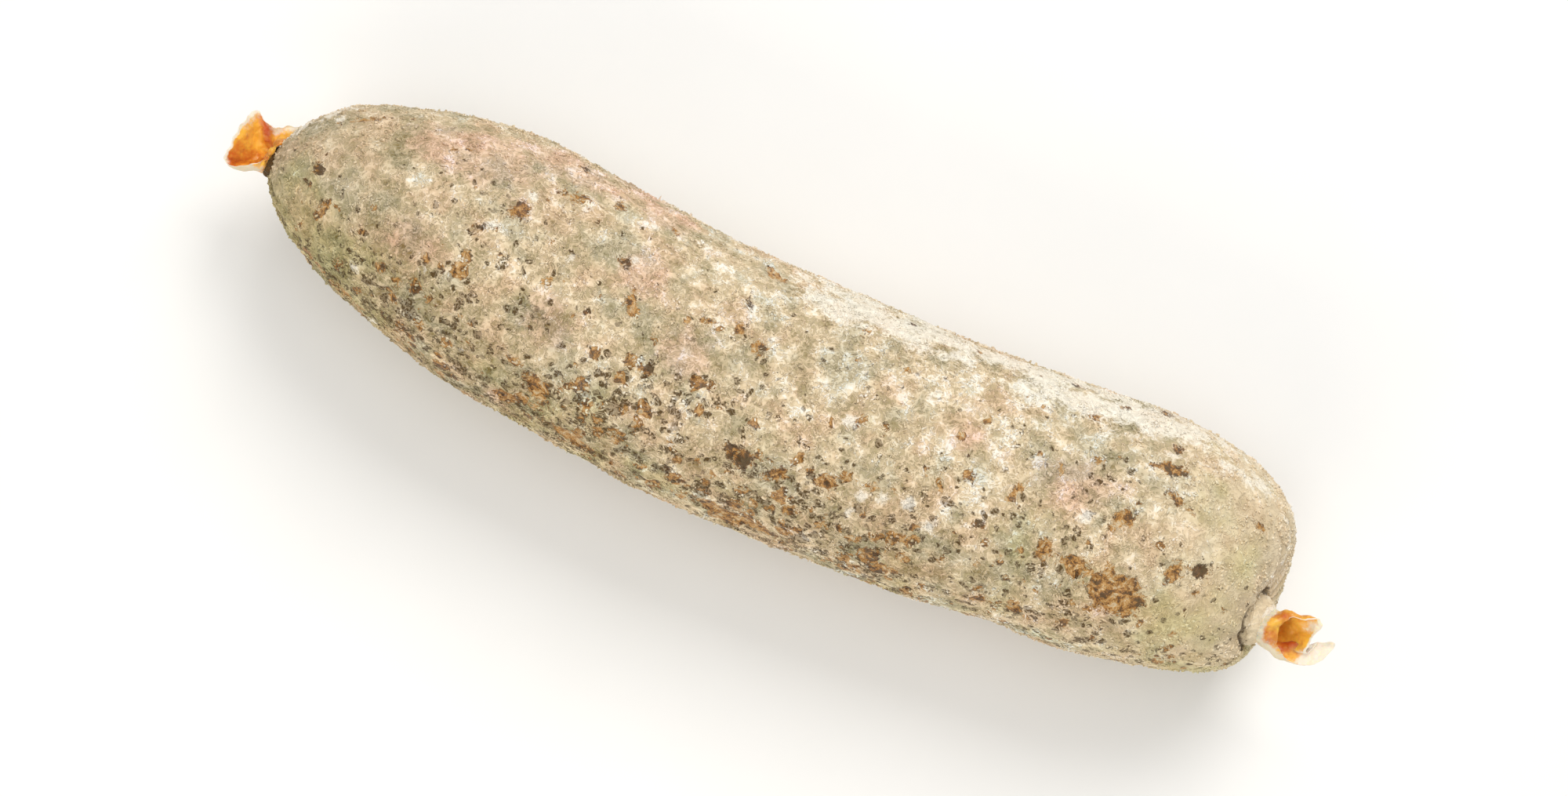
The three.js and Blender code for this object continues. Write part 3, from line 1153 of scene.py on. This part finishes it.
@dataclass
class CasingEnd:
    """One empty, dried end of the casing: a gathered neck, and a torn sleeve that opens like a scoop.

    Bearings go round the sleeve as seen from the body: 0 degrees is its right side, 90 its upper
    side, 180 its left side and 270 its underside.

    Fields:
        name: Which end.
        node: The CAD node that it stands for.
        root: Where it leaves the body, in millimetres.
        heading: The way it leaves, in degrees in plan.
        rise: How steeply it rises, in degrees.
        neck: Radius of the sleeve where it starts.
        collar: Largest radius of the gathered neck.
        stand: How far the gathered neck stands out.
        seat: How far the gathered neck reaches into the body.
        rim: Bearing of each point of the rim, and its way from the root along X, Y and Z.
        bulge: How far the sleeve swells on its way to the rim.
        folds: How many long folds it has.
        patches: Where it takes painted fold shade or a painted glow, and where it is pale or mouldy.
        painted_neck_shade: How deep the gathered neck lies in painted shade, as its depth inside a dark
            mark and in the painted crease shade.
        seed: The seed of its crumples.
        rows: Rows of the sleeve from its neck to its rim.
        columns: Columns of the sleeve round it.
        wall: Its thickness in millimetres.
        sunk: How far below the gathered neck's top the sleeve starts.
        dome: How far the sleeve's floor is domed.
    """

    name: str
    node: str
    root: Array
    heading: float
    rise: float
    neck: float
    collar: float
    stand: float
    seat: float
    rim: tuple[tuple[float, float, float, float], ...]
    bulge: float
    folds: int
    patches: tuple[Patch, ...]
    painted_neck_shade: float
    seed: int
    rows: int = 84
    columns: int = 260
    wall: float = 0.32
    sunk: float = 1.2
    dome: float = 1.6

    def __post_init__(self) -> None:
        """Works out the way out of the body, the way to the right and the way up."""
        h, e = math.radians(self.heading), math.radians(self.rise)
        self.out = np.array((math.cos(e) * math.cos(h), math.cos(e) * math.sin(h), math.sin(e)))
        self.right = np.array((math.sin(h), -math.cos(h), 0.0))
        self.up = np.cross(self.right, self.out)

    def _sheet(self) -> tuple[Array, Array, Array]:
        """The sleeve before it is crumpled.

        For each place round the rim a cubic curve leaves the neck's circle along the sleeve's axis,
        swells by the bulge and ends at the rim, which is ragged. A domed floor closes the neck.

        Returns:
            Places from the middle of the floor to the rim, share of the way, and bearing.
        """
        given = np.array(self.rim, float)
        bearing = np.radians(given[:, :1])
        given = np.hstack((given[:, 1:], np.cos(bearing), np.sin(bearing)))
        curve = closed_curve(given, self.columns)
        spoke = unit(curve[:, 3:])
        around = spoke[:, :1] * self.right + spoke[:, 1:] * self.up
        start = self.out * (self.stand - self.sunk) + around * self.neck
        tear = 0.55 * Grain(self.seed)(curve[:, :3], 2.4, 2)[:, None]
        rim = curve[:, :3] + unit(curve[:, :3] - start) * tear
        one = start + self.out * np.linalg.norm(rim - start, axis=1, keepdims=True) * 0.4
        two = start + (rim - start) * 0.62 + around * self.bulge
        s = np.linspace(0, 1, self.rows)[:, None, None]
        far = 3 * (1 - s) * s**2 * two + s**3 * rim
        sheet = (1 - s) ** 3 * start + 3 * (1 - s) ** 2 * s * one + far
        inner = np.linspace(0.01, 1, 10)[:-1, None, None]
        height = self.stand - self.sunk + self.dome * (1 - inner**2)
        floor = self.out * height + around * self.neck * inner
        way = np.concatenate((np.zeros(len(inner)), s.ravel()))[:, None]
        return np.concatenate((floor, sheet)), way, np.arctan2(spoke[:, 1], spoke[:, 0])

    def _sleeve(self) -> Skin:
        """The sleeve: its sheet moved along its normals by folds, gathers and crumples, with a wall.

        Folds are waves round the sleeve that are fullest half-way to the rim, gathers are finer
        waves close to the neck, and crumples are noise that grows away from the neck.

        Returns:
            The sleeve with its values.
        """
        sheet, way, angle = self._sheet()
        wander = Grain(self.seed + 1)(sheet, 7)
        folds = np.cos(self.folds * angle + 2.2 * wander) * np.sin(np.pi * way * 0.999) ** 0.8
        gathers = np.cos(13 * angle + 3 * wander) * bell(way - 0.08, 0.14) * smooth(0, 0.06, way)
        crumple = 0.55 * Grain(self.seed + 2)(sheet, 4.2, 2)
        crumple = crumple + 0.16 * Grain(self.seed + 3)(sheet, 1.3)
        push = 0.5 * folds + 0.3 * gathers + crumple * smooth(0.0, 0.35, way)
        sheet = sheet + grid_normals(sheet) * push[..., None] + self.root
        values = {
            # Painted shade deepening to red in the fold valleys, where the layers also lie double.
            "fold": 0.28 - 0.35 * folds + 0.1 * crumple,
            "rim": smooth(0.93, 1.0, way) + 0 * folds,
            "mould": 0 * folds,
        }
        for patch in self.patches:
            turn = np.angle(np.exp(1j * (angle - math.radians(patch.bearing))))
            near = bell(np.degrees(turn), patch.spread) * bell(way - patch.share, patch.reach)
            side = {None: "", True: "_in", False: "_out"}[patch.inside]
            name = patch.value + side
            values[name] = values.get(name, 0 * folds) + patch.rise * near
        wall = self.wall * (1 - 0.5 * smooth(0.8, 1.0, way)) + 0 * folds
        skin = walled(sheet, wall, values)
        outside = skin.values["outside"]
        for name in ("fold", "rim", "mould"):
            inner = skin.values.pop(name + "_in", 0) * (1 - outside)
            outer = skin.values.pop(name + "_out", 0) * outside
            skin.values[name] = skin.values[name] + inner + outer
        return skin

    def _gathers(self) -> Skin:
        """The gathered neck: a rounded roll about the sleeve's axis, drawn into pleats.

        Its radius is the collar's times (1 - d^2)^0.42, with d the way along the axis from its
        middle over its half-length. Pleats are waves round it.

        Returns:
            The closed neck with the mould coat's values.
        """
        along = np.cos(np.linspace(np.pi, 0, 42))[1:-1, None]
        angle = np.linspace(0, 2 * np.pi, 96, endpoint=False)[None, :]
        around = np.cos(angle)[..., None] * self.right + np.sin(angle)[..., None] * self.up
        half = (self.stand + self.seat) / 2
        axis = self.root + self.out * (self.stand - half + half * along[..., None])
        radius = self.collar * (1 - along**2) ** 0.42
        points = axis + around * radius[..., None]
        pleats = 0.28 * np.cos(11 * angle + 2.5 * Grain(self.seed + 7)(points, 8))
        lumps = 0.35 * Grain(self.seed + 8)(points, 3.0, 2)
        points = points + around * ((pleats + lumps) * (1 - along**2) ** 0.3)[..., None]
        levels = {"coat": 0.75, "calm": 1, "green": 0, "pitted": -0.6, "bare": -8, "blush": -8}
        # Painted shade: at the tapered end the whole gathered neck is darkened as the shade in its
        # pucker; at the blunt end it takes none.
        levels |= {"dark": self.painted_neck_shade, "painted_crease_shade": self.painted_neck_shade}
        values = {name: level + 0 * points[..., 0] for name, level in levels.items()}
        # A white arc along the upper edge of the gathered neck; at the blunt end, where it faces the
        # light, it is partly chalky mould and partly a painted highlight.
        chalk_and_highlight_arc = smooth(0.5, 0.9, np.cos(angle - 2.6)) * bell(along - 0.72, 0.2)
        values["chalk_and_highlight"] = 4.6 * chalk_and_highlight_arc - 2.2
        return capped(points, values)

    def build(self, gut: bpy.types.Material, coat: bpy.types.Material) -> None:
        """Makes the neck and the sleeve, and dresses them.

        Args:
            gut: The dried casing's finish.
            coat: The mould coat.
        """
        self._gathers().piece(f"neck_{self.name}", coat, COAT_SLOT)
        self._sleeve().piece(f"sleeve_{self.name}", gut, GUT_SLOT, self.node)


def tapered_end(body: SausageBody) -> CasingEnd:
    """The casing end at the tapered tip: a wide amber scoop with a rolled edge and an upright flap."""
    return CasingEnd(
        name="tapered",
        node="casing_tail_tapered",
        root=body.tip(body.tapered),
        heading=176,
        rise=4,
        neck=3.9,
        collar=4.5,
        stand=2.0,
        seat=3.0,
        rim=(
            (-220, -2.4, -1.4, 4.4), (-190, -5.4, -3.8, 3.8), (-165, -9.4, -5.6, 3.2),
            (-140, -12.3, -4.9, 2.2), (-115, -11.9, -1.6, 4.4), (-90, -11.2, 2.6, 5.0),
            (-70, -11.2, 7.0, 4.2), (-50, -9.4, 10.9, 2.6), (-30, -5.6, 9.2, 1.0),
            (-15, -2.6, 8.4, 1.6), (0, 0.8, 10.6, 0.6), (10, 4.4, 11.2, 1.4), (20, 3.1, 8.7, 2.2),
            (35, 1.5, 5.8, 3.2), (60, -0.4, 3.4, 4.4), (90, -1.2, 0.8, 4.6),
        ),
        bulge=2.2,
        folds=5,
        # Fold patches paint shade in the deepest folds where they rise and a glow inside the scoop
        # where they fall.
        patches=(
            Patch("fold", 210, 0.75, 24, 0.35, 0.5, True),
            Patch("fold", 325, 0.6, 12, 0.3, 0.25, True),
            Patch("rim", 345, 0.7, 16, 0.3, 0.7),
            Patch("fold", 280, 0.5, 40, 0.4, -0.4, True),
            Patch("mould", 180, 0.6, 50, 0.6, 0.9, False),
            Patch("rim", 300, 1.0, 34, 0.3, 0.75),
            Patch("rim", 220, 1.0, 16, 0.2, 0.9),
            Patch("rim", 10, 0.9, 24, 0.3, 0.8),
        ),
        # The gathered neck is painted dark as the shade of its pucker.
        painted_neck_shade=4,
        seed=61,
    )


def blunt_end(body: SausageBody) -> CasingEnd:
    """The casing end at the blunt tip: a narrow scoop with an upright flap and a long white strip."""
    return CasingEnd(
        name="blunt",
        node="casing_tail_blunt",
        root=body.tip(body.blunt),
        heading=-6,
        rise=24,
        neck=4.8,
        collar=7.2,
        stand=4.4,
        seat=5.0,
        rim=(
            (-240, 6.6, 3.4, 6.8), (-210, 8.0, 4.8, 8.0), (-170, 11.0, 5.4, 9.5),
            (-140, 14.0, 7.2, 10.5), (-115, 15.4, 4.6, 9.0), (-90, 15.0, 1.0, 6.0),
            (-65, 15.6, -2.6, 4.2), (-55, 17.4, 0.9, 5.6), (-48, 19.8, 2.4, 6.6),
            (-42, 21.4, 2.0, 6.0), (-35, 20.4, -2.0, 4.6), (-25, 18.0, -5.2, 3.2),
            (-10, 14.8, -6.4, 2.6), (10, 11.5, -6.3, 3.2), (35, 8.0, -4.4, 4.2),
            (60, 6.4, -1.8, 5.8), (90, 6.0, 1.2, 6.5),
        ),
        bulge=1.4,
        folds=4,
        # Fold patches paint shade in the deepest folds where they rise and a glow inside the scoop
        # where they fall.
        patches=(
            Patch("fold", 300, 0.5, 24, 0.22, 0.8, True),
            Patch("fold", 230, 0.5, 75, 0.6, -0.7, True),
            Patch("rim", 80, 1.0, 55, 0.3, -1.0),
            Patch("rim", 318, 1.0, 24, 0.34, 2.2),
            Patch("rim", 240, 0.85, 22, 0.3, 0.9, True),
            Patch("mould", 90, 0.0, 200, 0.3, 1.0, False),
            Patch("mould", 0, 0.7, 45, 0.6, 0.8, False),
        ),
        painted_neck_shade=-8,
        seed=83,
    )


# The studio


@dataclass(frozen=True)
class Lamp:
    """A square soft light that looks at the middle of the sausage.

    Fields:
        name: Its name.
        place: Where it stands, in metres.
        width: Its width in metres.
        watts: Its power.
        colour: Its colour.
    """

    name: str
    place: tuple[float, float, float]
    width: float
    watts: float
    colour: Colour = (1.0, 1.0, 1.0)

    def build(self) -> None:
        """Puts the light in the scene."""
        data = bpy.data.lights.new(self.name, "AREA")
        data.size = self.width
        data.energy = self.watts
        data.color = self.colour
        lamp = bpy.data.objects.new(self.name, data)
        lamp.location = self.place
        lamp.rotation_euler = (-Vector(self.place)).to_track_quat("-Z", "Y").to_euler()
        bpy.context.scene.collection.objects.link(lamp)


@dataclass
class Studio:
    """The pale floor, the soft lights and the camera straight above.

    Fields:
        turn: How far the camera is rolled from the sausage's own axis, in degrees.
        lens: Focal length in millimetres.
        wide: Width of the picture at the sausage's mid-height, in millimetres.
        floor_radius: Radius of the floor, in metres.
        lamps: The lights.
        room: Strength of the room's even light.
    """

    turn: float = 23.84
    lens: float = 85.0
    wide: float = 426.4
    floor_radius: float = 5.0
    lamps: tuple[Lamp, ...] = (
        Lamp("key", (0.05, 0.85, 0.95), 0.6, 10.2, (1.0, 0.985, 0.96)),
        Lamp("top", (-0.1, 0.1, 1.6), 1.2, 6.2),
        Lamp("fill", (-0.1, -0.9, 0.45), 0.8, 5.8, (1.0, 0.95, 0.86)),
    )
    room: float = 0.42

    def floor(self) -> None:
        """A wide round sheet at the height of the resting face."""
        recipe = Recipe("floor_paint")
        cloud = recipe.noise(recipe.place(), 60.0, 3.0) + 0.5
        paint = recipe.mix(cloud, srgb(238, 237, 234), srgb(243, 242, 240))
        material = recipe.finish({"Base Color": paint, "Roughness": 0.85})
        spokes = 96
        turn = np.linspace(0, 2 * np.pi, spokes, endpoint=False)
        rim = np.stack((np.cos(turn), np.sin(turn), 0 * turn), axis=-1) * self.floor_radius
        mesh = bpy.data.meshes.new("floor")
        mesh.from_pydata(rim.tolist(), [], [list(range(spokes))])
        mesh.materials.append(material)
        floor = bpy.data.objects.new("floor", mesh)
        bpy.context.scene.collection.objects.link(floor)

    def camera(self) -> None:
        """A camera straight above the middle of the frame, rolled to the picture's own upright."""
        low, high = FULL_BOX
        data = bpy.data.cameras.new("camera")
        data.lens = self.lens
        camera = bpy.data.objects.new("camera", data)
        away = self.wide * MM * self.lens / data.sensor_width
        middle = (low + high) / 2
        camera.location = (middle.x + 0.001, middle.y, middle.z + away)
        camera.rotation_euler = (0, 0, math.radians(self.turn))
        bpy.context.scene.collection.objects.link(camera)
        bpy.context.scene.camera = camera

    def build(self) -> None:
        """Sets up the floor, the lights, the room's even light and the camera."""
        self.floor()
        for lamp in self.lamps:
            lamp.build()
        world = bpy.data.worlds.new("room")
        world.use_nodes = True
        back = world.node_tree.nodes["Background"]
        back.inputs["Color"].default_value = (0.95, 0.97, 1.0, 1.0)
        back.inputs["Strength"].default_value = self.room
        bpy.context.scene.world = world
        bpy.context.scene.view_settings.view_transform = "Standard"
        self.camera()


def main() -> None:
    """Builds the studio and the sausage."""
    logging.basicConfig(level=logging.INFO, format="%(message)s")
    Studio().build()
    coat = MouldCoat().material()
    gut = DriedGut().material()
    body = SausageBody()
    body.build(coat)
    MouldCrumbs(body).build(coat)
    for end in (tapered_end(body), blunt_end(body)):
        end.build(gut, coat)


if __name__ == "__main__":
    main()
